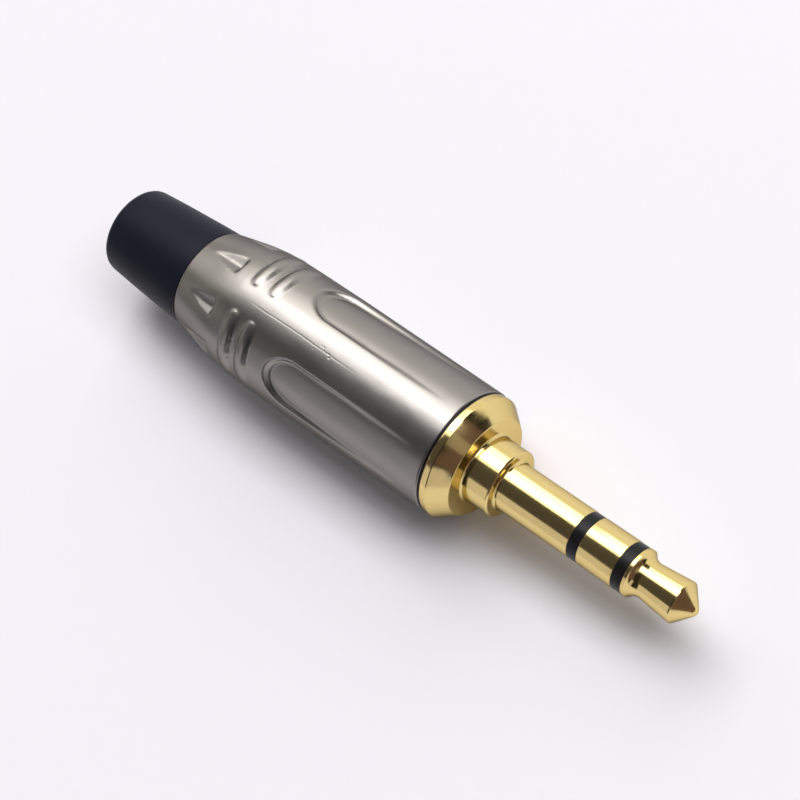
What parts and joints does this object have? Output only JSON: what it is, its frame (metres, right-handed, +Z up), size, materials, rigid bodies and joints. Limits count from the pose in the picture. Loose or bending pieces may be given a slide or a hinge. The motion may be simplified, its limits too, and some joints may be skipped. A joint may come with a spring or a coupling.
{
  "type": "stereo jack plug",
  "caption": "Stereo jack plug for a cable: gold pin with tip, ring and sleeve contacts, die-cast grip shell with panels and finger ribs, black cable boot.",
  "frame": {"origin": "on the table under the middle of the lying plug", "axes": "+X along the axis towards the tip, +Z up"},
  "size_m": [0.051, 0.0094, 0.0095],
  "materials": {
    "gold": "polished gold plate on turned brass",
    "black_insulator": "smooth black plastic",
    "tin": "tin plate on stamped brass sheet",
    "pale_insulator": "natural plastic",
    "satin_nickel": "satin nickel plate on die-cast zinc",
    "black_boot": "moulded black plastic, slight sheen"
  },
  "bodies": {
    "root": {"tip_contact": "gold", "tip_insulator": "black_insulator", "ring_contact": "gold", "ring_insulator": "black_insulator", "sleeve_contact": "gold", "front_washer": "black_insulator", "ground_lug": "tin", "ground_disc": "pale_insulator", "ring_lug": "tin", "ring_disc": "pale_insulator", "tip_lug": "tin", "liner": "pale_insulator", "shell": "satin_nickel", "boot": "black_boot"}
  },
  "joints": []
}
